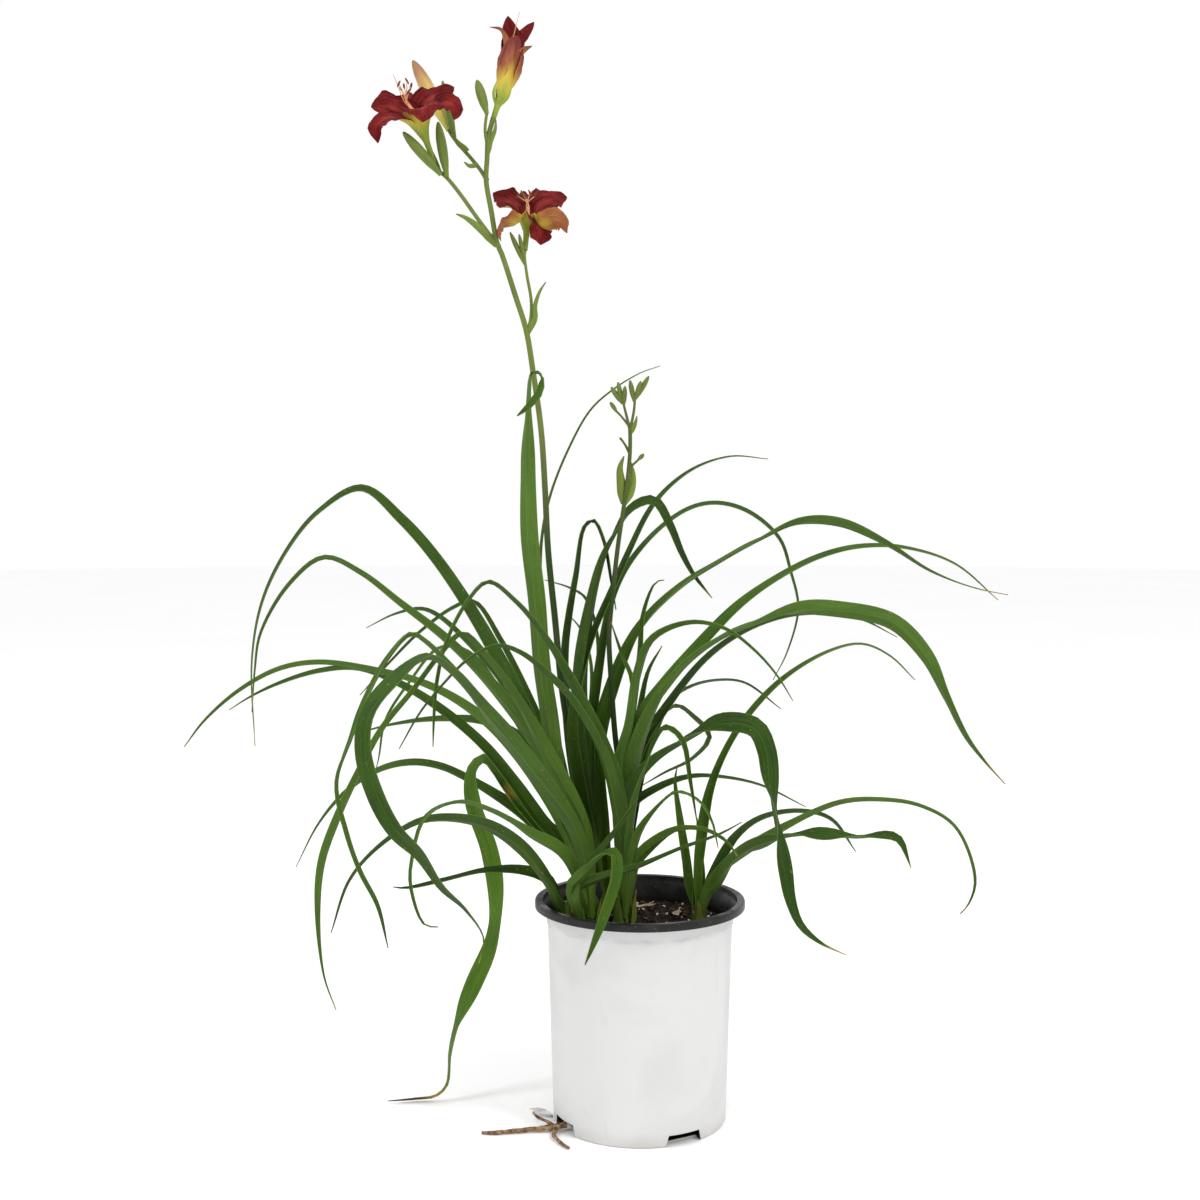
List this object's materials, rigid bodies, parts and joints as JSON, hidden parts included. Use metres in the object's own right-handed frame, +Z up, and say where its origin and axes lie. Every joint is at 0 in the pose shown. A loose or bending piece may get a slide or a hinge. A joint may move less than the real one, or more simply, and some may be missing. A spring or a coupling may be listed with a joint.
{
  "type": "potted daylily plant",
  "caption": "Daylily in bloom in a round nursery pot: arching strap leaves in fans, a tall branched flower stem, a young stem with buds, soil and roots.",
  "frame": {"origin": "centre of the pot's flat underside, on the surface that it stands on", "axes": "+Z up along the pot's axis, +X to the right and +Y away as seen from the front"},
  "size_m": [0.6695, 0.4213, 0.873],
  "materials": {
    "pot": "white blow-moulded plastic, lightly scuffed",
    "soil": "moist dark potting mix with perlite grains and dry scraps",
    "leaf": "satin green blade, ribbed along its length",
    "stem": "smooth green stem, slightly waxy",
    "petal": "maroon petal, velvety, with a yellow throat",
    "stamen": "salmon filaments with dark anthers",
    "bud": "ribbed bud, yellow to brown",
    "root": "rough brown root skin"
  },
  "bodies": {
    "root": {"pot": "pot", "soil": "soil", "fan_left": "leaf", "fan_centre": "leaf", "fan_right": "leaf", "offset_left": "leaf", "offset_right": "leaf", "shoot_front": "leaf", "scape_tall": "stem", "scape_young": "stem", "bloom_left": "petal", "bloom_low": "petal", "bloom_top": "petal", "stamens_left": "stamen", "stamens_low": "stamen", "stamens_top": "stamen", "bud_large": "bud", "roots": "root"}
  },
  "joints": []
}
